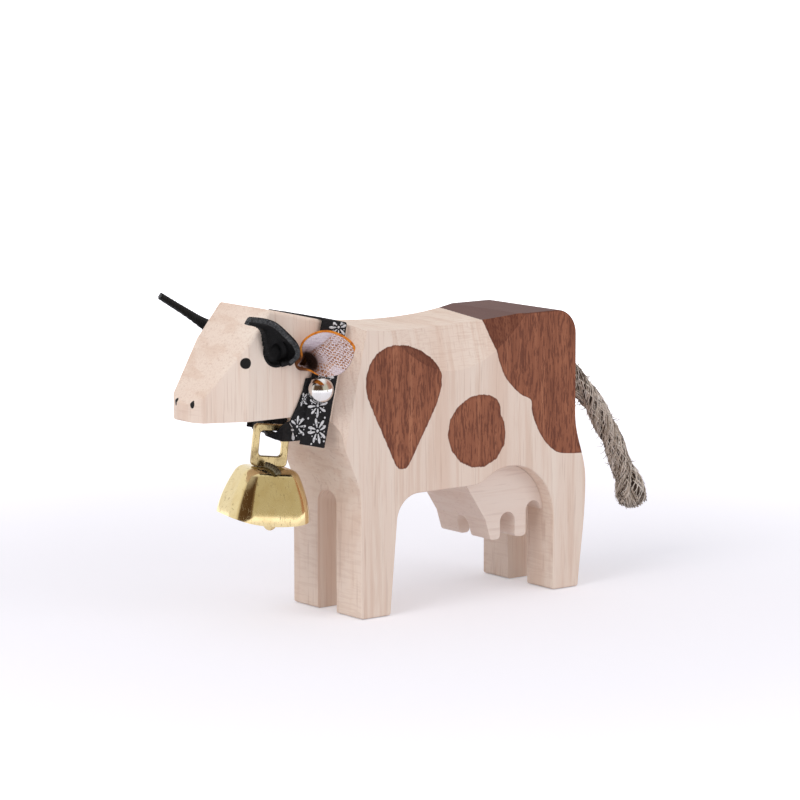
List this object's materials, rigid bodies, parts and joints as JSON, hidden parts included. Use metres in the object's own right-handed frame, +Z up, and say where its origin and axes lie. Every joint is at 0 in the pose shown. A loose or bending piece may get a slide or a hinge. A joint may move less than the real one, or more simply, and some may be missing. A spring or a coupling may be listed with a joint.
{
  "type": "cow figurine",
  "caption": "Sawn wooden toy cow with stained patches, leather horns and ears, rope tail, patterned ribbon collar and a hanging brass bell.",
  "frame": {"origin": "on the floor, under the middle of the wooden body between nose and rump", "axes": "+X towards the rump, -X towards the nose, +Y to the cow's right, +Z up"},
  "size_m": [0.1946, 0.063, 0.1066],
  "materials": {
    "pale_wood": "sanded",
    "horn_leather": "ribbed",
    "ear_leather": "smooth",
    "rope": "three-strand",
    "ribbon": "woven",
    "nail_steel": "polished",
    "bell_brass": "polished",
    "dark_wire": "dull"
  },
  "bodies": {
    "cow": {"cow_body": "pale_wood", "udder": "pale_wood", "horn_left": "horn_leather", "horn_right": "horn_leather", "ear_left": "ear_leather", "ear_right": "ear_leather", "tail_rope": "rope", "collar_ribbon": "ribbon", "collar_nail": "nail_steel"},
    "bell": {"bell_bail": "bell_brass", "bell_shell": "bell_brass", "bell_hanger": "dark_wire"},
    "clapper": {"clapper": "bell_brass"}
  },
  "joints": [
    {"name": "bell_swing", "type": "hinge", "parent": "cow", "child": "bell", "pos_m": [-0.04125, 0, 0.0631], "axis": [0.9657, -0.2336, -0.1132], "range_deg": [-30, 30]},
    {"name": "clapper_swing", "type": "hinge", "parent": "bell", "child": "clapper", "pos_m": [-0.04537, -0.00435, 0.04396], "axis": [-0.2351, -0.972, 0], "range_deg": [-25, 25]}
  ]
}
